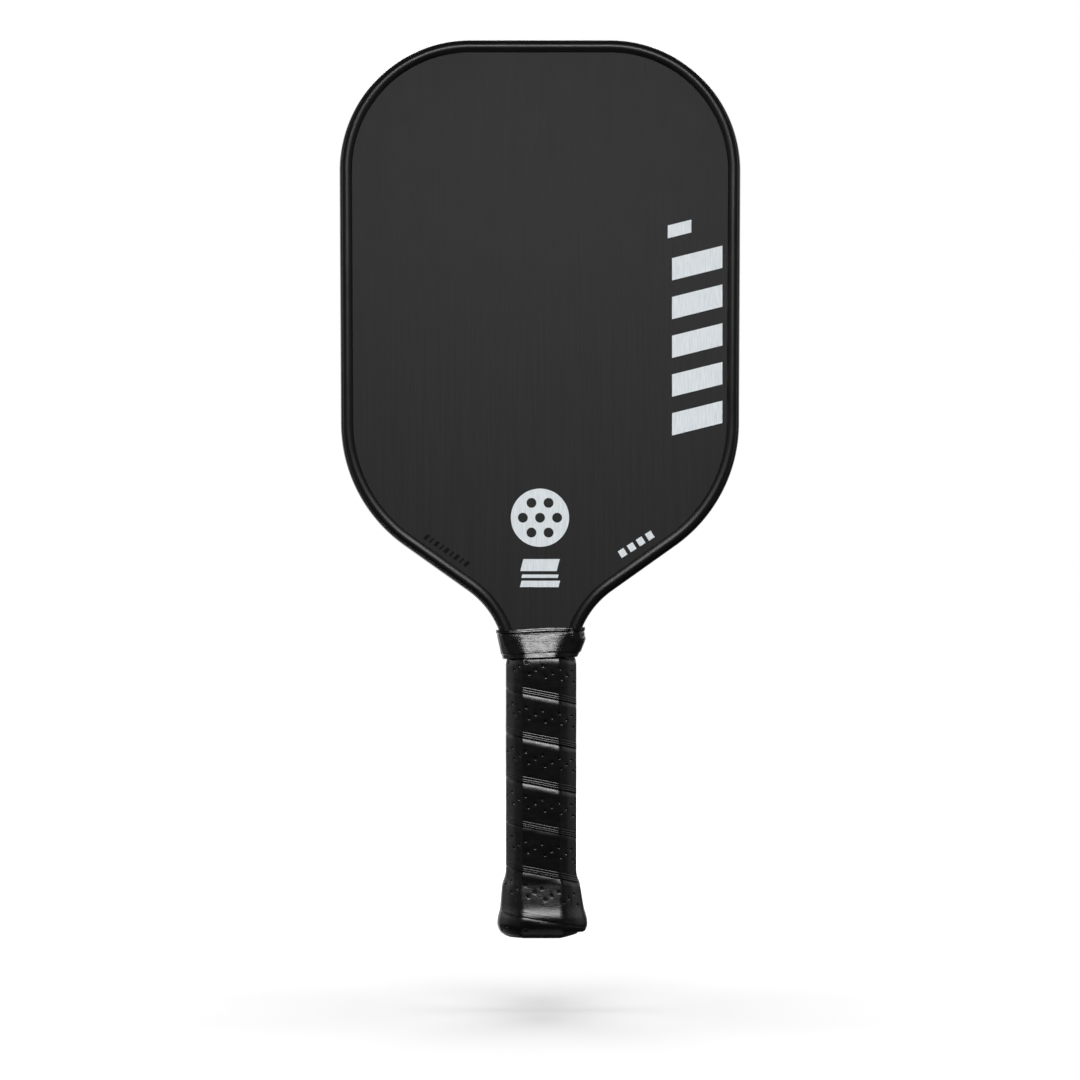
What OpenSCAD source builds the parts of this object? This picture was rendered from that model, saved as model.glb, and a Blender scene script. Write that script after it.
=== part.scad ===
// Pickleball paddle: honeycomb panel, edge guard, two-part handle, butt cap and wrapped grip.
// X is across the head, -Y is the front face and +Z runs from the butt to the top edge.
// The origin is the centre of the butt's flat end. Millimetres.

/* [Head] */
// Overall length, butt to top edge
paddle_length = 419.1; // [405:0.1:430]
// Overall width across the edge guard
paddle_width = 187.5; // [180:0.1:200]
// Radius of the two top corners
corner_radius = 61.1; // [50:0.5:75]
// Inward lean of each side, in degrees
side_lean = 0.3; // [0:0.1:2]
// Length of each straight side
side_length = 117.9; // [110:0.1:130]
// Radius of the two lower shoulders
shoulder_radius = 70.4; // [65:0.1:75]
// Angle that each shoulder turns through, in degrees
shoulder_turn = 54.3; // [53:0.1:55.5]
// Straight slope between shoulder and throat
slope_length = 36.6; // [35:0.1:38]
// Radius of the hollow throat curve
throat_radius = 40.9; // [39:0.1:43]

/* [Panel] */
// Thickness of the whole panel, skins included
panel_t = 16; // [13:0.5:16]
// Thickness of one carbon skin
skin_t = 0.6; // [0.4:0.05:1]
// Thickness of the fleece that is fused to each side of the core
scrim_t = 0.2; // [0.1:0.05:0.4]
// Honeycomb cell, across its flats
cell_size = 10; // [9:0.5:14]
// Honeycomb wall
cell_wall = 0.25; // [0.2:0.05:0.5]

/* [Edge guard] */
// Distance that each lip reaches over the face
lip_reach = 6; // [4:0.25:8]
// Height of each lip's crown above the face
lip_crown = 2.05; // [1.5:0.05:2.5]
// Height of each lip's inner edge above the face
lip_edge = 0.55; // [0.3:0.05:0.9]
// Wall of the guard along the panel's edge
guard_wall = 1.7; // [1.2:0.1:2.5]
// Thickness of the bonding tape inside the guard
bond_t = 0.3; // [0.1:0.05:0.5]

/* [Handle] */
// Grip width, side to side
grip_width = 33; // [30:0.1:36]
// Grip depth, front to back
grip_depth = 30.4; // [28:0.1:33]
// Width of the front flat of the wrapped grip
front_flat = 16.7; // [14:0.1:18]
// Width of the tongue that runs down inside the handle
tongue_width = 25.4; // [22:0.1:25.6]
// Height of one turn of the grip
grip_pitch = 20.77; // [18:0.01:23]
// Height of the lowest seam on the front
first_seam = 6.8; // [5:0.1:12]
// Overlap of one turn on the next
grip_lap = 4.1; // [3:0.1:5]
// Thickness of the wrapped grip
grip_t = 1.85; // [1.5:0.05:2.2]

/* [Hidden] */

arc_step = 4.5;          // degrees between points on the outline's arcs
fit = 0.02;              // clearance between bonded pieces
mitre = tan(22.5);       // growth of a flat for each millimetre that the octagon grows
throat_turn = 41.3;      // degrees that the outline turns back at the throat
half_panel = panel_t / 2;
core_t = panel_t - 2 * (skin_t + scrim_t);
panel_inset = guard_wall + bond_t;
tongue_end = 4;          // height of the tongue's lower end, on the butt cap's floor

// Bare handle octagon, inside the grip
bare_w = grip_width / 2 - grip_t;
bare_d = grip_depth / 2 - grip_t;
bare_front = front_flat / 2 - grip_t * mitre;
bare_side = bare_d - (bare_w - bare_front);

// Butt cap: [height, growth over the bare octagon] of the flange, then of the seat under the grip
flange = [[0, 1.9], [0.5, 2.9], [1.4, 3.9], [2.6, 4.4]];
seat_profile = [
    [2.6, 3], [4, 3.7], [6, 4.25], [8, 4.3], [11, 3.6], [15, 2.8], [19, 2.4], [24, 1.9], [26.6, 1.1], [27, 0]
];
cap_floor = 3;
cap_top = 26.6;
badge_radius = 11;
badge_depth = 0.8;

// ---------- Outline ----------
// The head's outline is a walk from the top's middle down the right side. Each leg is
// [radius, amount]: radius 0 is a straight of that length, a positive radius turns right
// and a negative one turns left through that many degrees. The heading is in degrees
// clockwise from +X, and an inset walk keeps the same headings.
function legs(inset) = [
    [0, paddle_width / 2 - corner_radius],
    [corner_radius - inset, 90 + side_lean],
    [0, side_length],
    [shoulder_radius - inset, shoulder_turn],
    [0, slope_length],
    [-throat_radius - inset, throat_turn]
];

// One leg's points, without its first, each as [x, z, heading]
function leg_points(from, leg) =
    leg[0] == 0
    ? [[from[0] + leg[1] * cos(from[2]), from[1] - leg[1] * sin(from[2]), from[2]]]
    : let (steps = ceil(leg[1] / arc_step), turn = sign(leg[0]) * leg[1])
      [for (i = [1:steps])
          let (h = from[2] + turn * i / steps)
          [from[0] + leg[0] * (sin(h) - sin(from[2])), from[1] + leg[0] * (cos(h) - cos(from[2])), h]];

function walk(path, ways, i = 0) =
    i == len(ways) ? path : walk(concat(path, leg_points(path[len(path) - 1], ways[i])), ways, i + 1);

function half_outline(inset) = walk([[0, paddle_length - inset, 0]], legs(inset));

// The left half mirrors the right one, and its walk runs the other way
function full_outline(inset) =
    let (right = half_outline(inset), last = len(right) - 1)
    concat([for (i = [last:-1:1]) [-right[i][0], right[i][1], -right[i][2]]], right);

neck = let (path = half_outline(panel_inset)) path[len(path) - 1];
neck_foot = neck[1] - (neck[0] - tongue_width / 2);   // the neck narrows to the tongue at 45 degrees
collar_top = neck[1] + 5.2;      // top edge of the finishing tape
collar_base = neck[1] - 6.6;     // its lower edge, on the grip
grip_base = 2.65;
grip_top = neck[1] - 5;
pallet_top = neck[1] + 4.5;

function panel_points() =
    let (half = half_outline(panel_inset), foot = tongue_width / 2)
    concat(
        [for (p = half) [p[0], p[1]]],
        [[foot, neck_foot], [foot, tongue_end], [-foot, tongue_end], [-foot, neck_foot]],
        [for (i = [len(half) - 1:-1:1]) [-half[i][0], half[i][1]]]
    );

// ---------- Shared shapes ----------
// An upright plate whose outline lies in X and Z, from y to y + thickness
module upright(y, thickness) {
    translate([0, y + thickness, 0])
        rotate([90, 0, 0])
            linear_extrude(thickness)
                children();
}

// A face-down copy of a front piece on the back of the paddle
module to_back() {
    rotate([0, 0, 180])
        children();
}

// Corner i of the handle's octagon, grown by g, clockwise from the right side seen from above
function corner(i, g) =
    let (w = bare_w + g, d = bare_d + g, f = bare_front + g * mitre, s = bare_side + g * mitre)
    [[w, -s], [f, -d], [-f, -d], [-w, -s], [-w, s], [-f, d], [f, d], [w, s]][i];

function octagon(g) = [for (i = [0:7]) corner(i, g)];

function ring_at(z, points) = [for (p = points) [p[0], p[1], z]];

// Triangles between neighbouring rings of n points
function band(n, a, b) = [
    for (i = [0:n - 1])
        let (j = (i + 1) % n)
        each [[a * n + i, b * n + j, b * n + i], [a * n + i, a * n + j, b * n + j]]
];

// A solid through a list of equal rings. A closed one joins its last ring to its first.
module skin(rings, closed = false) {
    n = len(rings[0]);
    last = len(rings) - 1;
    sides = [for (k = [0:last - 1]) each band(n, k, k + 1)];
    ends = closed
        ? band(n, last, 0)
        : concat(
            [for (i = [1:n - 2]) [0, i + 1, i]],
            [for (i = [1:n - 2]) [last * n, last * n + i, last * n + i + 1]]
        );
    polyhedron([for (r = rings) each r], concat(sides, ends));
}

// A strip whose section is n outer points and then n inner points in reverse
module strip(rings, n) {
    last = len(rings) - 1;
    size = 2 * n;
    sides = [for (k = [0:last - 1]) each band(size, k, k + 1)];
    ends = [
        for (i = [0:n - 2])
            let (a = i, b = i + 1, c = size - 2 - i, d = size - 1 - i, e = last * size)
            each [[a, c, b], [a, d, c], [e + a, e + b, e + c], [e + a, e + c, e + d]]
    ];
    polyhedron([for (r = rings) each r], concat(sides, ends));
}

function mirror_profile(half) = concat(
    [for (p = half) [p[0], -p[1]]],
    [for (i = [len(half) - 2:-1:0]) half[i]]
);

// ---------- Panel ----------
module panel_sheet(y, thickness) {
    upright(y, thickness)
        polygon(panel_points());
}

module face_sheet_front() {
    color([0.13, 0.13, 0.13])
        panel_sheet(-half_panel, skin_t);
}

module face_sheet_back() {
    color([0.13, 0.13, 0.13])
        panel_sheet(half_panel - skin_t, skin_t);
}

module core_scrim_front() {
    color("gainsboro")
        panel_sheet(-half_panel + skin_t, scrim_t);
}

module core_scrim_back() {
    color("gainsboro")
        panel_sheet(half_panel - skin_t - scrim_t, scrim_t);
}

// One corrugated ribbon of the honeycomb, in the panel's plane. Neighbours sit half a
// wave apart and are welded where their flats meet.
module ribbon(row) {
    rise = cell_size / 2;
    flat = cell_size / sqrt(3);
    slope = rise / tan(60);
    wave = 2 * (flat + slope);
    waves = ceil(paddle_width / wave) + 1;
    lean = cell_wall * tan(30);
    start = -waves * wave / 2 + (row % 2) * wave / 2;
    under = [
        for (i = [0:waves - 1])
            let (x = start + i * wave)
            each [[x, 0, 1], [x + flat, 0, -1], [x + flat + slope, rise, -1], [x + 2 * flat + slope, rise, 1]]
    ];
    over = [for (i = [len(under) - 1:-1:0]) [under[i][0] + lean * under[i][2], under[i][1] + cell_wall]];
    translate([0, row * (rise + cell_wall + fit)])
        polygon(concat([for (p = under) [p[0], p[1]]], over));
}

module honeycomb_core() {
    row_height = cell_size / 2 + cell_wall + fit;
    first_row = ceil(tongue_end / row_height);
    last_row = floor((paddle_length - panel_inset) / row_height) - 1;
    color("whitesmoke")
        upright(-core_t / 2, core_t)
            for (row = [first_row:last_row])
                intersection() {
                    ribbon(row);
                    polygon(panel_points());
                }
}

// ---------- Edge guard ----------
// Half of the guard's section as [inset, y]: outside from the lip's edge to the middle of
// the wall, and inside over the same stretch
function guard_outside() =
    let (crown = half_panel + lip_crown, edge = half_panel + lip_edge)
    [
        [lip_reach, edge], [lip_reach - 0.5, edge + 0.5], [lip_reach * 0.72, crown - 0.45],
        [lip_reach * 0.52, crown - 0.08], [lip_reach * 0.37, crown], [lip_reach * 0.22, crown - 0.3],
        [lip_reach * 0.09, crown - 1.15], [0.15, crown - 2.75], [0.02, half_panel * 0.56], [0, 0]
    ];

function guard_inside() =
    let (lip = half_panel + fit)
    [
        [lip_reach, lip], [lip_reach - 0.6, lip], [lip_reach * 0.72, lip], [lip_reach * 0.53, lip],
        [lip_reach * 0.42, lip], [lip_reach * 0.33, lip], [guard_wall, lip], [guard_wall, half_panel * 0.8],
        [guard_wall, half_panel * 0.5], [guard_wall, 0]
    ];

module edge_guard() {
    outside = mirror_profile(guard_outside());
    inside = mirror_profile(guard_inside());
    n = len(outside);
    section = concat(outside, [for (i = [n - 1:-1:0]) inside[i]]);
    color([0.06, 0.06, 0.06])
        strip(
            [
                for (p = full_outline(0))
                    [for (s = section) [p[0] - s[0] * sin(p[2]), s[1], p[1] - s[0] * cos(p[2])]]
            ],
            n
        );
}

module edge_bond_tape() {
    outer = full_outline(guard_wall);
    inner = full_outline(panel_inset);
    width = panel_t - 0.4;
    color("dimgray")
        upright(-width / 2, width)
            polygon(concat(
                [for (p = outer) [p[0], p[1]]],
                [for (i = [len(inner) - 1:-1:0]) [inner[i][0], inner[i][1]]]
            ));
}

// ---------- Handle ----------
// Side view of both pallets: full depth up the handle, then a ramp down towards the face
module pallet_side_profile() {
    ramp_base = neck[1] - 6;
    ramp_depth = half_panel + lip_crown;
    polygon([
        [-bare_d, cap_floor + fit], [bare_d, cap_floor + fit], [bare_d, ramp_base],
        [ramp_depth, pallet_top], [-ramp_depth, pallet_top], [-bare_d, ramp_base]
    ]);
}

module pallet_block() {
    intersection() {
        linear_extrude(pallet_top)
            polygon(octagon(0));
        rotate([90, 0, 90])
            translate([0, 0, -bare_w])
                linear_extrude(2 * bare_w)
                    pallet_side_profile();
    }
}

module tongue_pocket() {
    half = tongue_width / 2 + fit;
    depth = half_panel + fit;
    translate([-half, -depth, -1])
        cube([2 * half, 2 * depth, pallet_top + 2]);
}

// Clears the pallet's cheeks from the spreading neck and from the guard's lips
module neck_relief() {
    half = bare_w + 1;
    depth = half_panel + lip_crown + 0.25;
    lip_gap = neck[0] - lip_reach + guard_wall + bond_t - 0.9;
    translate([-half, -half_panel - fit, neck_foot - 1])
        cube([2 * half, panel_t + 2 * fit, pallet_top]);
    for (side = [-1, 1])
        translate([side > 0 ? lip_gap : -lip_gap - half, -depth, neck[1] - 4])
            cube([half, 2 * depth, pallet_top]);
}

module pallet_front_half() {
    difference() {
        pallet_block();
        tongue_pocket();
        neck_relief();
        translate([-bare_w - 1, -fit / 2, -1])
            cube([2 * bare_w + 2, bare_d + 2, pallet_top + 2]);
        staples(fit);
    }
}

module handle_pallet_front() {
    color("darkkhaki")
        pallet_front_half();
}

module handle_pallet_back() {
    color("darkkhaki")
        to_back()
            pallet_front_half();
}

// ---------- Butt cap ----------
module butt_cap() {
    seat = [for (p = seat_profile) if (p[0] <= cap_top) p];
    outside = [for (p = concat(flange, seat)) ring_at(p[0], octagon(p[1]))];
    pocket = [ring_at(cap_top, octagon(4 * fit)), ring_at(cap_floor, octagon(4 * fit))];
    color([0.05, 0.05, 0.05])
        difference() {
            skin(concat(outside, pocket));
            translate([0, 0, -1])
                cylinder(r = badge_radius, h = 1 + badge_depth, $fn = 96);
            staples(fit);
            to_back()
                staples(fit);
        }
}

// A thin disc with a raised rim, sunk just below the butt's flat end
module butt_badge() {
    rim = 1.6;
    inset = 0.15;
    dish = 0.25;
    r = badge_radius - 2 * fit;
    color([0.1, 0.1, 0.1])
        rotate_extrude($fn = 96)
            polygon([
                [0, inset + dish], [r - rim - dish, inset + dish], [r - rim, inset],
                [r, inset], [r, badge_depth - fit], [0, badge_depth - fit]
            ]);
}

// Two staples through the cap's front wall into the pallet, grown by a clearance
module staples(gap) {
    crown = 10;
    wire = [1.2, 0.5];
    leg = 5;
    for (z = [13, 20.5]) {
        face = bare_d + lookup(z + wire[0], seat_profile);
        translate([-crown / 2 - gap, -face - (gap > 0 ? 1 : 0), z - gap])
            cube([crown + 2 * gap, wire[1] + gap + (gap > 0 ? 1 : 0), wire[0] + 2 * gap]);
        for (x = [-crown / 2, crown / 2 - wire[1]])
            translate([x - gap, -face + wire[1] / 2, z - gap])
                cube([wire[1] + 2 * gap, leg + gap, wire[0] + 2 * gap]);
    }
}

module cap_staples() {
    color("silver") {
        staples(0);
        to_back()
            staples(0);
    }
}

// ---------- Grip ----------
// The grip is one strip, wound as a left-hand helix from the butt to the collar. Each turn's
// lower margin lies over the thin upper margin of the turn below it.
chamfer = norm([bare_w - bare_front, bare_d - bare_side]);
corner_reach = [
    0, chamfer, chamfer + 2 * bare_front, 2 * chamfer + 2 * bare_front,
    2 * chamfer + 2 * (bare_front + bare_side), 3 * chamfer + 2 * (bare_front + bare_side),
    3 * chamfer + 4 * bare_front + 2 * bare_side, 4 * chamfer + 4 * bare_front + 2 * bare_side
];
girth = 4 * (chamfer + bare_front + bare_side);
front_middle = chamfer + bare_front;

// Turns wound at corner m, counted from the lowest seam on the front
function turns_at(m) =
    let (i = ((m % 8) + 8) % 8)
    floor(m / 8) + (corner_reach[i] - front_middle) / girth;

// Surface that the grip lies on, and the least growth that clears it between two heights
function seat(z) = lookup(z, seat_profile);
function clear_seat(z) = max([for (dz = [-2.4:1.2:2.4]) seat(z + dz)]) + 7 * fit;

margin = grip_t / 2 - 0.025;
grip_outside = [
    [0, grip_t - 0.3], [0.8, grip_t], [grip_lap + 0.5, grip_t], [grip_pitch * 0.4, grip_t],
    [grip_pitch * 0.6, grip_t], [grip_pitch * 0.8, grip_t], [grip_pitch - 1.5, grip_t - 0.05],
    [grip_pitch - 0.15, margin], [grip_pitch + grip_lap, margin]
];
grip_inside = [
    [0, margin + 0.05], [grip_lap, margin + 0.05], [grip_lap + 0.15, 0], [grip_pitch * 0.4, 0],
    [grip_pitch * 0.6, 0], [grip_pitch * 0.8, 0], [grip_pitch - 1.5, 0],
    [grip_pitch - 0.15, 0], [grip_pitch + grip_lap, 0]
];

function grip_ring(m) =
    let (
        i = ((m % 8) + 8) % 8,
        lower_edge = first_seam + grip_pitch * turns_at(m),
        n = len(grip_outside),
        height = [
            for (k = [0:n - 1])
                [for (p = [grip_outside[k], grip_inside[k]])
                    min(max(lower_edge + p[0], grip_base + 0.01 * k), grip_top - 0.01 * (n - 1 - k))]
        ],
        outer = [
            for (k = [0:n - 1])
                [corner(i, seat(height[k][0]) + grip_outside[k][1]), height[k][0]]
        ],
        inner = [
            for (k = [n - 1:-1:0])
                [corner(i, clear_seat(height[k][1]) + grip_inside[k][1]), height[k][1]]
        ]
    )
    [for (p = concat(outer, inner)) [p[0][0], p[0][1], p[1]]];

module grip_wrap() {
    first = (grip_base - first_seam) / grip_pitch - 1;
    last = (grip_top - grip_lap - first_seam) / grip_pitch;
    corners = [for (m = [64:-1:-16]) if (turns_at(m) >= first && turns_at(m) <= last) m];
    color([0.04, 0.04, 0.04])
        strip([for (m = corners) grip_ring(m)], len(grip_outside));
}

// The collar of finishing tape, from the grip's end up over the pallets' ramps and the guard
module finishing_tape() {
    tape = 0.8;
    base = corner(7, grip_t + tape + 2.5 * fit);
    base_flat = corner(6, grip_t + tape + 2.5 * fit)[0];
    neck_w = neck[0] + panel_inset;
    // Each row is [height, half width, half depth, half front flat, half side flat]
    outside = [
        [collar_base, base[0], base[0] - base_flat + base[1], base_flat, base[1]],
        [grip_top + 0.6, base[0] + 0.3, grip_depth / 2 + 0.8, base_flat + 0.6, base[1] + 0.3],
        [neck[1] - 1, neck_w + 1.4, grip_depth / 2 - 0.7, base_flat + 5, base[1] + 1.6],
        [collar_top, neck_w + 3.5, half_panel + lip_crown + tape + 0.1, neck_w + 1.2, half_panel + 0.2]
    ];
    function section(row, inward) =
        let (w = row[1] - inward, d = row[2] - inward, f = row[3] - inward * mitre, e = row[4] - inward * mitre)
        ring_at(row[0], [[w, -e], [f, -d], [-f, -d], [-w, -e], [-w, e], [-f, d], [f, d], [w, e]]);
    color([0.03, 0.03, 0.03])
        skin(
            concat(
                [for (row = outside) section(row, 0)],
                [for (i = [len(outside) - 1:-1:0]) section(outside[i], tape)]
            ),
            closed = true
        );
}

// ---------- Printed marks ----------
ink_t = 0.06;

module on_front() {
    upright(-half_panel - ink_t, ink_t)
        children();
}

// A bar that leans like italic type, centred on its own middle
module leaning_bar(width, height, lean) {
    shift = height / 2 * tan(lean);
    polygon([
        [-width / 2 - shift, -height / 2], [width / 2 - shift, -height / 2],
        [width / 2 + shift, height / 2], [-width / 2 + shift, height / 2]
    ]);
}

module side_bars() {
    bars = 5;
    length = 23.5;
    thick = 10.4;
    gap = 7.7;
    base = paddle_length - 182;
    edge = paddle_width / 2 - 8.6;
    for (i = [0:bars - 1])
        translate([edge - length / 2, base + thick / 2 + i * (thick + gap)])
            rotate(90)
                leaning_bar(thick, length, -14);
    translate([edge - length - 2 + 5.5, base + bars * (thick + gap) + 3])
        rotate(90)
            leaning_bar(6, 11, -14);
}

module side_bars_front() {
    color("lightsteelblue")
        on_front()
            side_bars();
}

module side_bars_back() {
    color("lightsteelblue")
        to_back()
            side_bars_front();
}

// A plain ball with round holes
module ball_emblem_front() {
    radius = 13.6;
    hole = 2.3;
    ring = 8;
    color("lightsteelblue")
        translate([0, -half_panel - ink_t, paddle_length - 223.3])
            rotate([-90, 0, 0])
                difference() {
                    cylinder(r = radius, h = ink_t, $fn = 96);
                    translate([0, 0, -1])
                        cylinder(r = hole, h = 2 + ink_t, $fn = 32);
                    for (i = [0:5])
                        rotate(60 * i)
                            translate([ring, 0, -1])
                                cylinder(r = hole, h = 2 + ink_t, $fn = 32);
                }
}

module ball_emblem_back() {
    color("lightsteelblue")
        to_back()
            ball_emblem_front();
}

module rating_bars_front() {
    bars = [[17, 5.6, 7.2], [17, 1.6, 2], [18, 3, -1.6]];
    color("lightsteelblue")
        on_front()
            for (bar = bars)
                translate([0, paddle_length - 252.6 + bar[2]])
                    leaning_bar(bar[0], bar[1], 14);
}

module edge_dashes_front() {
    dash = [3.2, 3.6];
    color("lightsteelblue")
        on_front()
            translate([44.9, paddle_length - 235.7])
                rotate(32.5)
                    for (i = [-1.5:1.5])
                        translate([i * 5, 0])
                            leaning_bar(dash[0], dash[1], 0);
}

module lot_ticks_front() {
    color([0.02, 0.02, 0.02])
        on_front()
            translate([-43.6, paddle_length - 238.6])
                rotate(-34)
                    for (i = [-4:4])
                        translate([i * 2.8, 0])
                            leaning_bar(i % 2 == 0 ? 1.6 : 0.8, 2.8, 12);
}

honeycomb_core();
core_scrim_front();
core_scrim_back();
face_sheet_front();
face_sheet_back();
edge_bond_tape();
edge_guard();
handle_pallet_front();
handle_pallet_back();
butt_cap();
butt_badge();
cap_staples();
grip_wrap();
finishing_tape();
side_bars_front();
side_bars_back();
ball_emblem_front();
ball_emblem_back();
rating_bars_front();
edge_dashes_front();
lot_ticks_front();
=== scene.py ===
"""Looks of the pickleball paddle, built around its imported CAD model.

Metres, with +Z towards the head's top edge and the front face towards -Y.
"""

import math

import bmesh
import bpy
import numpy as np
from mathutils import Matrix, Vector, noise
from mathutils.geometry import delaunay_2d_cdt

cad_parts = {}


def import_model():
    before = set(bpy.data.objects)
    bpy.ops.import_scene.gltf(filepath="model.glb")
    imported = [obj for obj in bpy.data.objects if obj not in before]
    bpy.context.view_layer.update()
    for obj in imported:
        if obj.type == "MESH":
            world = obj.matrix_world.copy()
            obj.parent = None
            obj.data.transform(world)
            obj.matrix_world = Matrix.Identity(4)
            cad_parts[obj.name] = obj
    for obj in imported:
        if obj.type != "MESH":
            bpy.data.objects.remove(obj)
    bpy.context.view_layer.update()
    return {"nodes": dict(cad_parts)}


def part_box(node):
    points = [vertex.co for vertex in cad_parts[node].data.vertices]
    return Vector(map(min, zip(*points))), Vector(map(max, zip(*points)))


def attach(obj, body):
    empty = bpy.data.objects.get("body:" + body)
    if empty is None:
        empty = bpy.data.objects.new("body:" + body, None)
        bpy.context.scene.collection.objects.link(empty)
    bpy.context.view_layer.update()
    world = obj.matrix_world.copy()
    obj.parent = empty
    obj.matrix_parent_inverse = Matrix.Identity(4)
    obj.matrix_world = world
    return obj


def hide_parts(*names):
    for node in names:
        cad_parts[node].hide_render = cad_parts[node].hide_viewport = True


MM = 0.001

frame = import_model()
nodes = frame["nodes"]

# ---------- Places, from the frame ----------
guard_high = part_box("edge_guard")[1]
face_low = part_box("face_sheet_front")[0]
cap_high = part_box("butt_cap")[1]
badge_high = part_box("butt_badge")[1]
collar_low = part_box("finishing_tape")[0]
HALF_WIDTH = guard_high.x
TOP = guard_high.z
CROWN = guard_high.y              # half thickness over the guard's crown
FACE = -face_low.y                # half thickness of the panel

# ---------- Outline, as in the CAD model ----------
CORNER_RADIUS = 61.1 * MM
SIDE_LEAN = 0.3                   # degrees
SIDE_LENGTH = 117.9 * MM
SHOULDER_RADIUS = 70.4 * MM
SHOULDER_TURN = 54.3
SLOPE_LENGTH = 36.6 * MM
THROAT_RADIUS = 40.9 * MM
THROAT_TURN = 41.3
ARC_STEP = 1.5                    # degrees between rings of the guard
STRAIGHT_STEP = 4 * MM

# ---------- Edge guard's section ----------
GUARD_WALL = 1.7 * MM             # at the panel's edge
GUARD_LIP = 5.8 * MM              # how far in from the outline the lip reaches over the face
CROWN_AT = 3.3 * MM               # how far in the lip's highest line lies
DOME_START = 1.3 * MM
DOME_ROWS = 18
OUTER_FALL = 235                  # curvature of the lip's dome on both sides of that line, per metre
INNER_FALL = 175
LIP_RETURN = 0.2 * MM
PANEL_GAP = 0.02 * MM
# Outer wall and rim, ending in a crease: [inset, distance from the middle plane] in millimetres
GUARD_RIM = [
    (0, 0), (0.03, 3), (0.06, 5), (0.12, 5.9), (0.22, 6.7), (0.36, 7.3), (0.52, 7.8), (0.66, 8.12),
    (0.76, 8.24), (0.84, 8.2), (0.93, 8.02), (1.03, 8.0), (1.12, 8.3), (1.2, 8.75),
]
# The lip's thin inner edge: [distance past the lip, height over the face] in millimetres
LIP_EDGE = [(0.12, 0.62), (0.17, 0.4), (0.1, 0.03)]

# ---------- Handle ----------
GRIP_HALF_WIDTH = 16.5 * MM
GRIP_HALF_DEPTH = 15.2 * MM
FRONT_HALF_FLAT = 8.75 * MM
SIDE_HALF_FLAT = GRIP_HALF_DEPTH - (GRIP_HALF_WIDTH - FRONT_HALF_FLAT)
# Radii of the wrapped handle's edges
FRONT_ROUND = 2.2 * MM
SLANT_ROUND = 24 * MM             # on the middle of each slanting side
SIDE_ROUND = 4.5 * MM
SLANT_BULGE = 0.45 * MM
# The butt's flare at the sides, and at front and back: [height, growth] in millimetres
SIDE_FLARE = [
    (0, 0.1), (0.8, 1.2), (2, 2.9), (3.5, 3.95), (5, 4.45), (6.5, 4.6), (8, 4.45), (9.3, 4.15),
    (11, 3.65), (12.6, 3.2), (14, 2.98), (18, 2.5), (22.5, 2.0), (24.5, 1.65), (26, 1.1),
    (27.2, 0.6), (29, 0.2), (31, 0), (150, 0),
]
FRONT_FLARE = [
    (0, 0.4), (0.8, 1.1), (2, 2.1), (3.5, 3.1), (5, 3.85), (6.5, 4.25), (8, 4.3), (9.6, 4.2),
    (10.8, 3.85), (13.8, 2.7), (14.6, 2.45), (25.0, 0.1), (26.4, 0), (150, 0),
]
FLARE_STEP = 0.1                  # millimetres
FLARE_ROUNDING = 2.0
# The wrapped handle's lean to the right, which grows below a height
LEAN = 0.5 * MM
BUTT_LEAN = 0.6 * MM
LEAN_HEIGHT = 26 * MM
LEAN_FADE = 20 * MM
# The butt's bottom edge rises towards the right
LIFT = 1.5 * MM
LIFT_START = 8 * MM
LIFT_WIDTH = 11 * MM

# ---------- Grip ----------
PITCH = 20.77 * MM                # rise of one turn
SEAM_START = 7.96 * MM            # how far right of the front's middle the first seam's height is taken
FIRST_SEAM = 6.8 * MM             # height of the lowest seam there
TUCK = 1.2 * MM                   # part of each turn that lies hidden under the lap above it
STRIP_HEIGHT = PITCH + TUCK
GRIP_HEAD = collar_low.z + 1.5 * MM
GRIP_FOOT = 0.6 * MM
FOOT_WIDENING = 1.15              # the foot stands this much wider than the plain handle
FOOT_RISE = 0.5 * MM              # where the cut lower edge rides up
FOOT_RISE_AT = -30                # degrees round from the right
FOOT_RISE_SPREAD = 26
FOOT_ROUND = 1.0 * MM             # height over which the cut edge is rounded
FOOT_TUCK = 0.5 * MM
# How tightly each lap, from the lowest up, pulls in the turn below it
TIGHTNESS = [0.5, 0.7, 0.15, 1.0, 0.95, 0.7, 0.6, 0.6]
SIDE_TIGHTNESS = 0.4              # share of it that is left on the handle's sides
TIGHTNESS_WOBBLE = 0.35
TIGHTNESS_PATCH = 7 * MM
# The dip beside each lap: [size where it is loose, growth where it is tight]
DIP_WIDTH = (1.2 * MM, 1.7 * MM)
DIP_DEPTH = (0.08 * MM, 0.66 * MM)
DIP_LIMIT = 1.4
DIP_CURVE = 1.6
# The strip's face from its lower edge up, in millimetres: a rolled edge, then three pressed lines
EMBOSSING = np.array([
    (0, -0.8), (0.08, -0.45), (0.2, -0.2), (0.35, -0.08), (0.55, 0.0), (0.72, 0.05), (0.9, 0.05),
    (1.2, -0.06), (1.35, -0.04), (1.6, 0.04), (1.8, 0.06), (2.1, -0.07), (2.25, -0.05), (2.65, 0.03),
    (2.9, 0.07), (3.25, -0.07), (3.4, -0.05), (3.8, 0), (30, 0),
])
ROLLED_EDGE = 0.72 * MM
BUTT_EMBOSSING = 0.15             # share of the pressed lines left where the butt stretches the strip
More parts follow.
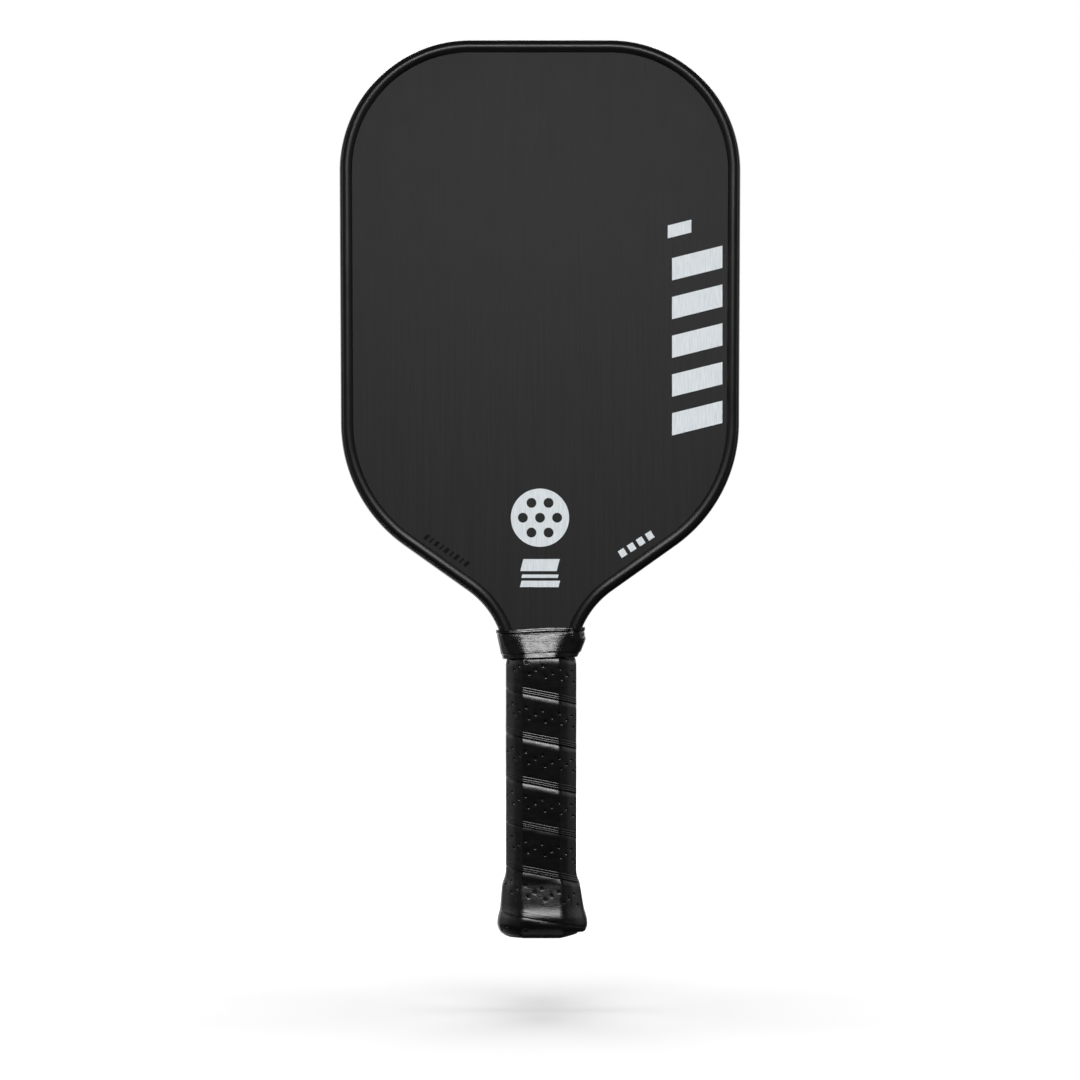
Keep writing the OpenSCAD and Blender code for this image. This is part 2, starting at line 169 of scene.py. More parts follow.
# Rows of the mesh across the strip, in millimetres, closer together by its edges and its pressed lines
ACROSS_ROWS = [
    0.08, 0.2, 0.35, 0.55, 0.72, 0.9, 1.05, 1.2, 1.35, 1.6, 1.8, 1.95, 2.1, 2.25, 2.65, 2.9, 3.08,
    3.25, 3.4, 3.8, 4.6, 6, 7.5, 9, 10.5, 12, 13.5, 15, 16.2, 17.2, 17.8, 18.3, 18.7, 19.1, 19.4,
    19.7, 20.0, 20.25, 20.5, 20.75, 21.2,
]
UNDERSIDE_ROWS = [1.4, 1.8, 7, 14]
LAP_WIDTH = 1.6 * MM              # of the edge that lies on the turn below
LAP_DEPTH = 0.85 * MM             # how deep the strip's underside lies there
BASE_DEPTH = 1.35 * MM            # how deep it lies elsewhere
# Patches of unevenness: [height, size]
BROAD_PATCH = (0.07 * MM, 9 * MM)
FINE_PATCH = (0.02 * MM, 2.5 * MM)
SEAM_PATCH = (0.12 * MM, 14 * MM)
SEAM_ROW = 3                      # the same row of the noise all along the seams
# How the collar squeezes the grip's head
SQUEEZE = 1.1 * MM
SQUEEZE_START = 4.6 * MM          # below the collar
SQUEEZE_HEIGHT = 4.5 * MM
SQUEEZE_CURVE = 1.7
# Perforations: distance of each row below the seam above it, and its shift along the strip
HOLE_ROWS = [(5.8 * MM, 0), (8.3 * MM, 3.3 * MM), (10.7 * MM, 6.4 * MM)]
HOLE_PITCH = 7.7 * MM
HOLE_SIDES = 12
HOLE_FOOT_GAP = 2 * MM            # least distance of a hole's middle from the grip's foot
HOLE_HEAD_GAP = 1 * MM            # and from its head
HOLE_CLEARANCE = 1.15 * MM        # radius that the mesh's own rows and columns keep clear
# A perforation's rings: [radius, depth] in millimetres
HOLE_RINGS = [(1.0, 0.0), (0.8, 0.05), (0.6, 0.17), (0.44, 0.42), (0.2, 0.85)]

# ---------- Butt cap ----------
CAP_UNDER_GRIP = 1.5 * MM         # how far the cap lies under the grip's face
CAP_SOCKET = 1.77 * MM            # how far its socket does
CAP_SOCKET_FLOOR = 3 * MM
CAP_ROWS = 18
CAP_LIFT_FADE = 4.5 * MM
BADGE_GAP = 0.06 * MM
BADGE_DEPTH_GAP = 0.02 * MM
BADGE_BEVEL = 0.15 * MM
# The cap's rounded foot: [step from the plain handle, height] in millimetres
CAP_FOOT = [(-2.4, 0), (-1.5, 0), (-0.9, 0.08), (-0.45, 0.3), (-0.2, 0.65), (-0.1, 1.1)]
CAP_WALL_START = 1.9              # heights between which its wall follows the grip, in millimetres
CAP_WALL_END = cap_high.z / MM - 0.2

# ---------- Collar ----------
COLLAR_ROWS = 26
COLLAR_COLUMNS = 160
COLLAR_SMOOTHING = 24
COLLAR_RIM = 0.86                 # share of its height at which the collar's rim begins
COLLAR_RIM_ROWS = 13
COLLAR_REACH = 18 * MM            # half width at which its tilt is given
COLLAR_RADIUS = 14 * MM           # mean radius
COLLAR_HEIGHT = 12.35 * MM
COLLAR_HEAD_TILT = 0.75 * MM      # how far the head rises on the right side
HEAD_TILT_MIDDLE = 0.7            # share of that rise at the middle
HEAD_TILT_SLOPE = 1.5             # growth of that share over one reach
COLLAR_FOOT_TILT = 0.9 * MM       # half of the foot's rise from left to right, before its drop
COLLAR_BACK_RISE = 0.4 * MM       # of the foot
COLLAR_RIGHT_DROP = 1.1 * MM      # of the foot's right side, over one reach
RIGHT_DROP_START = 0.3            # share of the reach at which the drop starts
TAPE = 0.8 * MM
# One quarter of the collar's section, from its side's middle to its front's middle, in millimetres
COLLAR_FOOT = [(17.4, 0), (17.4, 7.3), (13.1, 11.8), (8.7, 16.0), (0, 16.0)]
COLLAR_HEAD = [(20.4, 0), (20.4, 7.0), (17.6, 10.5), (9.6, 11.5), (0, 11.4)]
# The collar's layers: [share of its height, outward step in millimetres]
COLLAR_LAYERS = [
    (0, -0.2), (0.015, 0.02), (0.12, 0.05), (0.155, 0.03), (0.17, 0.33), (0.19, 0.38), (0.78, 0.3),
    (0.85, 0.12), (0.87, 0.0), (0.885, 0.35), (0.9, 0.42), (0.94, 0.42), (0.95, 0.2), (0.958, 0.36),
    (0.99, 0.34), (1.0, 0.05),
]
# Extra width of the right side's loose flap: [share of the height, step in millimetres]
COLLAR_FLAP = [(0, 0.1), (0.2, 0.9), (0.45, 1.6), (0.62, 1.9), (0.7, 1.2), (0.85, 0.7), (1.0, 0.5)]
FLAP_START = 14 * MM
FLAP_WIDTH = 4 * MM
CREASE_PATCH = (0.07 * MM, 5 * MM)      # height and size, as in the grip's patches
CREASE_STRETCH = 2.5

# ---------- Studio ----------
VIEW_DISTANCE = 2.0
VIEW_WIDTH = 0.5062               # width of the picture where the paddle is
VIEW_HEIGHT = 0.1854              # height of the level view line
SENSOR_WIDTH = 36                 # millimetres
AMBIENT = 0.04
HOVER = 35 * MM                   # height of the butt over the floor
FLOOR_REACH = 12.0
FLOOR_GLOW = 0.03                 # near the paddle; farther out it makes up for the softboxes' fall-off
FLOOR_FADE = (0.1, 1.6)           # distances from the butt's middle over which its glow grows
MIDDLE = (0, 0, 0.2)
# Each softbox: [place, target, width, height, watts]
FLOOR_SOFTBOXES = {
    "floor_over": ((0, 0, 1.0), (0, 0, 0), 2.2, 0.6, 10.9),
    "floor_front": ((0, -1.0, 1.0), (0, -1.0, 0), 1.0, 0.6, 11.8),
    "floor_back": ((0, 1.0, 1.0), (0, 1.0, 0), 1.0, 0.6, 11.8),
}
SOFTBOXES = {
    "front_top": ((0, -0.595, 0.565), (0, -0.595, 0), 0.36, 0.45, 8.0),
    "back_top": ((0, 0.62, 0.58), (0, 0.62, 0), 0.45, 0.5, 5.5),
    "back": ((0, 1.2, 0.4), MIDDLE, 1.6, 1.6, 4),
    "left_back": ((-0.6, 0.68, 0.25), MIDDLE, 0.35, 0.9, 1.1),
    "right_back": ((0.6, 0.68, 0.5), MIDDLE, 0.35, 0.5, 0.6),
    "left_high": ((-0.87, 0.2, 0.4), (0, 0, 0.36), 0.5, 0.4, 0.7),
    "right_high": ((0.87, 0.2, 0.4), (0, 0, 0.36), 0.5, 0.4, 0.55),
    "left_low": ((-0.88, 0.18, 0.02), (0, 0, 0.1), 0.5, 0.35, 0.25),
    "right_low": ((0.88, 0.18, 0.02), (0, 0, 0.1), 0.5, 0.35, 0.17),
    "left_front": ((-0.75, -0.5, 0.1), MIDDLE, 0.6, 0.9, 0.2),
    "right_front": ((0.75, -0.5, 0.1), MIDDLE, 0.6, 0.9, 0.15),
    "low_left": ((-0.45, 0.74, -0.35), (0, 0, 0.15), 0.5, 0.4, 1.2),
    "below": ((0, -0.15, -0.5), (0, 0, 0.1), 0.3, 0.3, 0.1),
}


# ---------- Mesh helpers ----------
def add_piece(name, points, faces, material, sharp):
    """A mesh that rides on the paddle's one body, shaded smooth up to an angle between its faces."""
    mesh = bpy.data.meshes.new(name)
    mesh.from_pydata([tuple(p) for p in points], [], [tuple(f) for f in faces])
    work = bmesh.new()
    work.from_mesh(mesh)
    bmesh.ops.recalc_face_normals(work, faces=work.faces)
    work.to_mesh(mesh)
    work.free()
    mesh.shade_smooth()
    mesh.set_sharp_from_angle(angle=math.radians(sharp))
    mesh.materials.append(material)
    piece = bpy.data.objects.new(name, mesh)
    bpy.context.scene.collection.objects.link(piece)
    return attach(piece, "root")


def loft_faces(rings, size, closed):
    """Quads between neighbouring rings of the same size, with an end face on each end of an open loft."""
    faces = []
    for r in range(rings if closed else rings - 1):
        a, b = r * size, (r + 1) % rings * size
        faces += [(a + i, a + (i + 1) % size, b + (i + 1) % size, b + i) for i in range(size)]
    if not closed:
        faces += [tuple(range(size)), tuple((rings - 1) * size + i for i in range(size))]
    return faces


def smooth_table(rows, step, width):
    """A table of [place, value] rows, resampled and rounded off over a width."""
    rows = np.array(rows, float)
    places = np.arange(rows[0, 0], rows[-1, 0], step)
    values = np.interp(places, rows[:, 0], rows[:, 1])
    window = np.hanning(max(3, int(width / step) | 1))
    pad = len(window) // 2
    values = np.convolve(np.pad(values, pad, mode="edge"), window / window.sum(), mode="valid")
    return places, values


# ---------- Edge guard ----------
def outline():
    """[x, z, heading] along the head's edge, from the neck's left side over the top to its right side."""
    legs = [
        (0, HALF_WIDTH - CORNER_RADIUS), (CORNER_RADIUS, 90 + SIDE_LEAN), (0, SIDE_LENGTH),
        (SHOULDER_RADIUS, SHOULDER_TURN), (0, SLOPE_LENGTH), (-THROAT_RADIUS, THROAT_TURN),
    ]
    path = [(0.0, TOP, 0.0)]
    for radius, amount in legs:
        x, z, heading = path[-1]
        start = math.radians(heading)
        if radius == 0:
            steps = math.ceil(amount / STRAIGHT_STEP)
            for i in range(1, steps + 1):
                d = amount * i / steps
                path.append((x + d * math.cos(start), z - d * math.sin(start), heading))
            continue
        turn = math.copysign(amount, radius)
        steps = math.ceil(amount / ARC_STEP)
        for i in range(1, steps + 1):
            h = math.radians(heading + turn * i / steps)
            path.append((
                x + radius * (math.sin(h) - math.sin(start)),
                z + radius * (math.cos(h) - math.cos(start)),
                math.degrees(h),
            ))
    return [(-x, z, -h) for x, z, h in reversed(path[1:])] + path


def guard_section():
    """The guard's section as [inset, y]: down the outside from front to back, then up the inside."""
    outside = [(i * MM, y * MM) for i, y in GUARD_RIM]
    for inset in np.linspace(DOME_START, GUARD_LIP, DOME_ROWS):
        fall = OUTER_FALL if inset < CROWN_AT else INNER_FALL
        outside.append((inset, CROWN - fall * (inset - CROWN_AT) ** 2))
    outside += [(GUARD_LIP + i * MM, FACE + y * MM) for i, y in LIP_EDGE]
    over_panel = FACE + PANEL_GAP
    inside = [(GUARD_LIP - LIP_RETURN, over_panel)]
    inside += [(GUARD_WALL, y) for y in (over_panel, FACE / 2, 0)]
    back = [(i, -y) for i, y in outside[1:]]
    back_inside = [(i, -y) for i, y in inside[:-1]]
    return back[::-1] + outside + inside + back_inside[::-1]


def edge_guard(material):
    section = guard_section()
    path = outline()
    points = []
    for x, z, heading in path:
        h = math.radians(heading)
        points += [(x - inset * math.sin(h), y, z - inset * math.cos(h)) for inset, y in section]
    faces = loft_faces(len(path), len(section), closed=False)
    piece = add_piece("edge_guard_moulding", points, faces, material, sharp=50)
    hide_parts("edge_guard")


# ---------- Handle's surface ----------
def wrapped_octagon(flat_steps=8, arc_steps=4):
    """The wrapped handle's section as [x, y, normal angle].

    It runs clockwise seen from above, from the right side's front corner. Each slanting side bulges
    a little, which makes a wide third corner on its middle.
    """
    bulge = SLANT_BULGE / math.sqrt(2)
    slant_x = (GRIP_HALF_WIDTH + FRONT_HALF_FLAT) / 2 + bulge
    slant_y = (GRIP_HALF_DEPTH + SIDE_HALF_FLAT) / 2 + bulge
    right_front = [
        (GRIP_HALF_WIDTH, -SIDE_HALF_FLAT, SIDE_ROUND),
        (slant_x, -slant_y, SLANT_ROUND),
        (FRONT_HALF_FLAT, -GRIP_HALF_DEPTH, FRONT_ROUND),
    ]
    left_front = [(-x, y, r) for x, y, r in reversed(right_front)]
    corners = right_front + left_front
    corners += [(-x, -y, r) for x, y, r in corners]
    sides = []
    for i, (x, y, radius) in enumerate(corners):
        a, b, c = (Vector(corners[(i + k) % len(corners)][:2]) for k in (-1, 0, 1))
        into, out = (b - a).normalized(), (c - b).normalized()
        turn = into.angle(out)
        cut = radius * math.tan(turn / 2)
        normal_in = Vector((-into.y, into.x))
        start, stop = b - into * cut, b + out * cut
        first = math.atan2(normal_in.y, normal_in.x)
        sides.append((start, stop, start - normal_in * radius, first, turn, radius))
    points = []
    for i, (start, stop, centre, first, turn, radius) in enumerate(sides):
        for k in range(arc_steps):
            angle = first - turn * k / arc_steps
            points.append((centre.x + radius * math.cos(angle), centre.y + radius * math.sin(angle), angle))
        following = sides[(i + 1) % len(sides)][0]
        steps = max(1, round(flat_steps * (following - stop).length / (2 * FRONT_HALF_FLAT)))
        for k in range(steps):
            p = stop.lerp(following, k / steps)
            points.append((p.x, p.y, first - turn))
    return np.array(points)


SIDE_CURVE = smooth_table(SIDE_FLARE, FLARE_STEP, FLARE_ROUNDING)
FRONT_CURVE = smooth_table(FRONT_FLARE, FLARE_STEP, FLARE_ROUNDING)


def flare(z, angle):
    """How far the handle stands out over its straight part, at a height and an angle of its normal."""
    front = np.sin(angle) ** 2
    at_side, at_front = (np.interp(z / MM, *curve) for curve in (SIDE_CURVE, FRONT_CURVE))
    return (at_side * (1 - front) + at_front * front) * MM


class Handle:
    """The wrapped handle's straight outer section, walked by length along it."""

    ring = wrapped_octagon(flat_steps=16)
    loop = np.vstack([ring, ring[:1]])
    loop[-1, 2] -= 2 * math.pi
    angles = np.unwrap(loop[:, 2])
    lengths = np.concatenate([[0], np.cumsum(np.hypot(np.diff(loop[:, 0]), np.diff(loop[:, 1])))])
    girth = lengths[-1]
    right_front = slice(0, 20)    # the first points, which run from the right side to the front
    seam_start = np.interp(-SEAM_START, -loop[right_front, 0], lengths[right_front])

    @classmethod
    def at(cls, along, z, out):
        """The surface's x and y at a length along the section and a height, moved out along its normal."""
        around = np.mod(along, cls.girth)
        x = np.interp(around, cls.lengths, cls.loop[:, 0])
        y = np.interp(around, cls.lengths, cls.loop[:, 1])
        angle = np.interp(around, cls.lengths, cls.angles)
        out = out + flare(z, angle)
        return x + out * np.cos(angle), y + out * np.sin(angle)


def smooth_step(share):
    """0 below a share of 0, 1 above a share of 1, and an S-curve between."""
    share = np.clip(share, 0, 1)
    return share * share * (3 - 2 * share)


def lean(z):
    """How far right of the middle the wrapped handle stands at a height."""
    return LEAN + BUTT_LEAN * smooth_step((LEAN_HEIGHT - z) / LEAN_FADE)


def lift(x):
    """How far the butt's bottom edge rises towards its right side."""
    return LIFT * smooth_step((x - LIFT_START) / LIFT_WIDTH)


def wobble(along, across, size, seed):
    """Smooth unevenness between about -1 and 1, in patches of a given size."""
    return noise.noise(Vector((along / size, across / size, seed)))


# ---------- Grip ----------
def foot(along):
    """Height of the grip's cut lower edge, which rides up round the front's right corner."""
    around = np.mod(along, Handle.girth)
    x, y = (np.interp(around, Handle.lengths, Handle.loop[:, i]) for i in range(2))
    turn = (np.degrees(np.arctan2(y, x)) - FOOT_RISE_AT) / FOOT_RISE_SPREAD
    return GRIP_FOOT + lift(FOOT_WIDENING * x) + FOOT_RISE * np.exp(-turn ** 2)


def seam_height(along):
    """Height of the strip's lower edge, which climbs clockwise seen from above."""
    return FIRST_SEAM + PITCH * (along - Handle.seam_start) / Handle.girth


def strip_profile(along, across):
    """Outward step of the strip's face from the plain handle."""
    lap = (along - Handle.seam_start) / Handle.girth + 1
    facing = math.sin(np.interp(along % Handle.girth, Handle.lengths, Handle.angles)) ** 2
    tight = np.interp(lap, range(len(TIGHTNESS)), TIGHTNESS)
    tight *= SIDE_TIGHTNESS + (1 - SIDE_TIGHTNESS) * facing
    tight = max(0.0, tight * (1 + TIGHTNESS_WOBBLE * wobble(along, 0, TIGHTNESS_PATCH, seed=5.2)))
    width = DIP_WIDTH[0] + DIP_WIDTH[1] * tight
    depth = DIP_DEPTH[0] + DIP_DEPTH[1] * tight
    dip = depth * np.clip((across - PITCH + width) / width, 0, DIP_LIMIT) ** DIP_CURVE
    embossing = np.interp(across / MM, *EMBOSSING.T) * MM
    if across > ROLLED_EDGE:
        embossing *= np.clip(2 * (lap - 1), BUTT_EMBOSSING, 1)
    return embossing - dip


def grip_columns():
    """Lengths along the strip at which the mesh has a column, over its whole winding."""
    first = Handle.seam_start + (GRIP_FOOT - STRIP_HEIGHT - FIRST_SEAM) / PITCH * Handle.girth
    last = Handle.seam_start + (GRIP_HEAD - FIRST_SEAM) / PITCH * Handle.girth
    turns = range(math.floor(first / Handle.girth), math.ceil(last / Handle.girth))
    stations = np.concatenate([Handle.lengths[:-1] + t * Handle.girth for t in turns])
    apart = 0.3 * MM
    inner = stations[(stations > first + apart) & (stations < last - apart)]
    return np.concatenate([[first], inner, [last]])


def hole_centres():
    """[along, across] of each perforation that lies clear of the grip's foot and head."""
    columns = grip_columns()
    centres = []
    for below, shift in HOLE_ROWS:
        across = PITCH - below
        for k in range(int((columns[-1] - columns[0]) / HOLE_PITCH) + 1):
            along = columns[0] + shift + k * HOLE_PITCH
            z = seam_height(along) + across
            if foot(along) + HOLE_FOOT_GAP < z < GRIP_HEAD - HOLE_HEAD_GAP:
                centres.append((along, across))
    return centres


def edge_stretch(along, z):
    """How much longer the surface is than the plain handle's, where an edge flares out."""
    reach = 0.2 * MM
    x, y = Handle.at(np.array([along - reach, along + reach]), z, 0)
    return math.hypot(x[1] - x[0], y[1] - y[0]) / (2 * reach)


def strip_layout():
    """The strip laid flat: points as [along, across], how many are its border, and their dimple depths."""
    columns = grip_columns()
    low = np.maximum(0, foot(columns) - seam_height(columns))
    high = np.minimum(STRIP_HEIGHT, GRIP_HEAD - seam_height(columns))
    border = [(u, v) for u, v in zip(columns, low)]
    border += [(u, v) for u, v in zip(columns[-2:0:-1], high[-2:0:-1])]
    points, depths = list(border), [0.0] * len(border)
    centres = np.array(hole_centres())
    for along, across in centres:
        stretch = edge_stretch(along, seam_height(along) + across)
        for radius, depth in HOLE_RINGS:
            r = radius * MM
            for k in range(HOLE_SIDES):
                a = 2 * math.pi * k / HOLE_SIDES
                points.append((along + r * math.cos(a) / stretch, across + r * math.sin(a)))
                depths.append(depth * MM)
    margin = 0.12 * MM
    for u, v0, v1 in zip(columns, low, high):
        near = centres[np.abs(centres[:, 0] - u) < HOLE_CLEARANCE]
        for v in np.array(ACROSS_ROWS) * MM:
            clear = all(math.hypot(u - c[0], v - c[1]) > HOLE_CLEARANCE for c in near)
            if v0 + margin < v < v1 - margin and clear:
                points.append((u, v))
                depths.append(0.0)
    return points, len(border), depths


def grip_outside(along, across, depth):
    """A point on the strip's face."""
    z = seam_height(along) + across
    out = float(strip_profile(along, across)) - depth
    for (height, size), stretch, seed in ((BROAD_PATCH, 1, 1.7), (FINE_PATCH, 2, 6.1)):
        out += height * wobble(along, z * stretch, size, seed)
    out -= FOOT_TUCK * (1 - np.clip((z - foot(along)) / FOOT_ROUND, 0, 1)) ** 2
    out -= SQUEEZE * np.clip((z - collar_low.z + SQUEEZE_START) / SQUEEZE_HEIGHT, 0, 1) ** SQUEEZE_CURVE
    x, y = Handle.at(along, z, out)
    height, size = SEAM_PATCH
    return float(x + lean(z)), float(y), z + height * wobble(along, SEAM_ROW, size, seed=8.1)


def grip_inside(along, across):
    """A point on the strip's underside, which is shallower where the strip lies on the turn below it."""
    z = seam_height(along) + across
    x, y = Handle.at(along, z, -LAP_DEPTH if across < LAP_WIDTH else -BASE_DEPTH)
    return float(x + lean(z)), float(y), z


def underside_points():
    """A coarse grid of points for the strip's hidden side, in millimetres."""
    margin = 0.5 * MM
    grid = []
    for u in grip_columns()[1:-1]:
        low = max(0, foot(u) - seam_height(u))
        high = min(STRIP_HEIGHT, GRIP_HEAD - seam_height(u))
        for row in UNDERSIDE_ROWS:
            if low + margin < row * MM < high - margin:
                grid.append(Vector((u / MM, row)))
    return grid


def triangulate(points, border):
    """Triangles over flat points, the first of which are the border, and each new point's source."""
    inside_only, tolerance = 1, 1e-6
    ring = [i for i, _ in border]
    placed, _, faces, origins, _, _ = delaunay_2d_cdt(points, border, [ring], inside_only, tolerance)
    return placed, faces, [origin[0] for origin in origins]


def grip_wrap(material):
    layout, border, depths = strip_layout()
    flat = [Vector((u / MM, v / MM)) for u, v in layout]
    loop = [(i, (i + 1) % border) for i in range(border)]
    placed, faces, source = triangulate(flat, loop)
    points = [grip_outside(p.x * MM, p.y * MM, depths[i]) for p, i in zip(placed, source)]
    outer = {i: place for place, i in enumerate(source)}
    placed, under_faces, source = triangulate(flat[:border] + underside_points(), loop)
    start = len(points)
    points += [grip_inside(p.x * MM, p.y * MM) for p in placed]
    inner = {i: start + place for place, i in enumerate(source)}
    faces = list(faces) + [tuple(start + i for i in reversed(f)) for f in under_faces]
    faces += [(outer[i], outer[j], inner[j], inner[i]) for i, j in loop]
    piece = add_piece("grip_wound_strip", points, faces, material, sharp=60)
    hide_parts("grip_wrap")


# ---------- Butt cap ----------
def butt_cap(material):
    """The moulded cap: a rounded flange below the grip, a seat under it, and a pocket for the handle."""
    recess = badge_high.x + BADGE_GAP
    base = wrapped_octagon()
    angle = np.arctan2(base[:, 1], base[:, 0])
    normals = np.column_stack([np.cos(base[:, 2]), np.sin(base[:, 2])])

    def ring(grow, z):
        spread = base[:, :2] + normals * grow + (lean(z), 0)
        return np.column_stack([spread, z + lift(spread[:, 0]) * max(0, 1 - z / CAP_LIFT_FADE)])

    def circle(radius, z):
        return np.column_stack([radius * np.cos(angle), radius * np.sin(angle), np.full(len(base), z)])

    rings = [circle(recess, badge_high.z + BADGE_DEPTH_GAP), circle(recess, BADGE_BEVEL)]
    rings.append(circle(recess + BADGE_BEVEL, 0))
    rings += [ring(grow * MM, z * MM) for grow, z in CAP_FOOT]
    for z in np.linspace(CAP_WALL_START, CAP_WALL_END, CAP_ROWS) * MM:
        rings.append(ring((flare(z, base[:, 2]) - CAP_UNDER_GRIP)[:, None], z))
    rings += [ring(-CAP_SOCKET, cap_high.z), ring(-CAP_SOCKET, CAP_SOCKET_FLOOR)]
    faces = loft_faces(len(rings), len(base), closed=False)
    piece = add_piece("butt_cap_moulding", np.vstack(rings), faces, material, sharp=35)
    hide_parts("butt_cap")


# ---------- Collar ----------
def collar_section(share):
    """The collar's closed section at a share of its height, with rounded corners: [x, y, normal angle]."""
    quarter = np.array(COLLAR_FOOT) * (1 - share) + np.array(COLLAR_HEAD) * share
    half = np.vstack([quarter * (1, -1), quarter[-2::-1] * (-1, -1)])
    loop = np.vstack([half, half[-2:0:-1] * (1, -1), half[:1]])
    lengths = np.concatenate([[0], np.cumsum(np.hypot(*np.diff(loop, axis=0).T))])
    places = np.linspace(0, lengths[-1], COLLAR_COLUMNS, endpoint=False)
    points = np.column_stack([np.interp(places, lengths, loop[:, i]) for i in range(2)])
    for _ in range(COLLAR_SMOOTHING):
        points = (np.roll(points, 1, axis=0) + 2 * points + np.roll(points, -1, axis=0)) / 4
    along = np.roll(points, -1, axis=0) - np.roll(points, 1, axis=0)
    return np.column_stack([points, np.arctan2(along[:, 0], -along[:, 1])]) * (MM, MM, 1)


def collar_ring(share, inward):
    """One ring of the collar's outside, or of its inside, at a share of its height."""
    x, y, angle = collar_section(share).T
    side = np.clip(x / COLLAR_REACH, -1, 1)
    foot_z = collar_low.z + COLLAR_FOOT_TILT * (side - 1) + COLLAR_BACK_RISE * (y > 0)
    foot_z -= COLLAR_RIGHT_DROP * np.maximum(side - RIGHT_DROP_START, 0)
    tilt = np.clip(side * HEAD_TILT_SLOPE + HEAD_TILT_MIDDLE, -1, 1)
    head_z = collar_low.z + COLLAR_HEIGHT + COLLAR_HEAD_TILT * tilt
    z = foot_z + (head_z - foot_z) * share
    step = np.full(len(x), -TAPE)
    if not inward:
        layer = np.interp(share, *np.array(COLLAR_LAYERS).T) * MM
        flap = np.interp(share, *np.array(COLLAR_FLAP).T) * MM
        step = layer + flap * np.clip((x - FLAP_START) / FLAP_WIDTH, 0, 1)
        height, size = CREASE_PATCH
        around, up = angle * COLLAR_RADIUS, z * CREASE_STRETCH
        step += [height * wobble(a, b, size, seed=4.4) for a, b in zip(around, up)]
    return np.column_stack([x + step * np.cos(angle), y + step * np.sin(angle), z])


def collar(material):
    """Two wound layers of tape, with a rolled upper rim and a loose flap on the right side."""
    body = np.linspace(0, COLLAR_RIM, COLLAR_ROWS)
    rim = np.linspace(COLLAR_RIM, 1, COLLAR_RIM_ROWS)
    layers = [share for share, _ in COLLAR_LAYERS]
    shares = np.unique(np.round(np.concatenate([body, layers, rim]), 4))
    rings = [collar_ring(share, inward=False) for share in shares]
    rings += [collar_ring(share, inward=True) for share in shares[::-1]]
    faces = loft_faces(len(rings), COLLAR_COLUMNS, closed=True)
    piece = add_piece("collar_tape", np.vstack(rings), faces, material, sharp=50)
    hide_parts("finishing_tape")


# ---------- Materials ----------
class Finish:
    """A Principled material whose colour, roughness and bump come from nodes in the object's own space."""

    def __init__(self, name, **sockets):
        self.material = bpy.data.materials.new(name)
        self.material.use_nodes = True
        self.tree = self.material.node_tree
        self.shader = self.tree.nodes["Principled BSDF"]
        for socket, value in sockets.items():
            self.shader.inputs[socket.replace("_", " ")].default_value = value
        self.place = self.tree.nodes.new("ShaderNodeTexCoord").outputs["Object"]

    def node(self, kind, **inputs):
        made = self.tree.nodes.new(kind)
        for name, value in inputs.items():
            socket = made.inputs[name.replace("_", " ")]
            if isinstance(value, bpy.types.NodeSocket):
                self.tree.links.new(value, socket)
            else:
                socket.default_value = value
        return made

    def noise(self, size, stretch=(1, 1, 1), detail=3.0, rough=0.55):
        """Noise with features of about a given size, made longer along an axis by its stretch."""
        scale = tuple(1 / s for s in stretch)
        place = self.node("ShaderNodeMapping", Vector=self.place, Scale=scale).outputs["Vector"]
        made = self.node("ShaderNodeTexNoise", Vector=place, Scale=1 / size, Detail=detail, Roughness=rough)
        return made.outputs["Fac"]

    def ramp(self, value, low, high, start=0.3, end=0.7):
        """A value from start to end (by default a noise's usual range) mapped to low to high."""
        source = {"Value": value, "From_Min": start, "From_Max": end}
        return self.node("ShaderNodeMapRange", To_Min=low, To_Max=high, **source).outputs["Result"]

    def math(self, operation, a, b):
        made = self.node("ShaderNodeMath")
        made.operation = operation
        for socket, value in zip(made.inputs, (a, b)):
            if isinstance(value, bpy.types.NodeSocket):
                self.tree.links.new(value, socket)
            else:
                socket.default_value = value
        return made.outputs["Value"]

    def mix(self, factor, low, high):
        """Makes the base colour a mix of two, each a colour or a socket, by a factor."""
        made = self.tree.nodes.new("ShaderNodeMix")
        made.data_type = "RGBA"
        self.tree.links.new(factor, made.inputs["Factor"])
        for socket, colour in (("A", low), ("B", high)):
            if isinstance(colour, bpy.types.NodeSocket):
                self.tree.links.new(colour, made.inputs[socket])
            else:
                made.inputs[socket].default_value = (*colour, 1)
        self.tree.links.new(made.outputs["Result"], self.shader.inputs["Base Color"])
        return made.outputs["Result"]

    def roughness(self, factor, low, high):
        self.tree.links.new(self.ramp(factor, low, high), self.shader.inputs["Roughness"])

    def bump(self, height, depth, strength=1.0, under=None):
        made = self.node("ShaderNodeBump", Strength=strength, Distance=depth, Height=height)
        if under is not None:
            self.tree.links.new(under, made.inputs["Normal"])
        self.tree.links.new(made.outputs["Normal"], self.shader.inputs["Normal"])
        return made.outputs["Normal"]

    def waves(self, size, axis):
        """Fine parallel threads, each of a given size along an axis."""
        uneven = {"Distortion": 0.6, "Detail": 1.0, "Detail_Scale": 2.0}
        made = self.node("ShaderNodeTexWave", Vector=self.place, Scale=math.pi / (10 * size), **uneven)
        made.bands_direction = axis
        return made.outputs["Fac"]


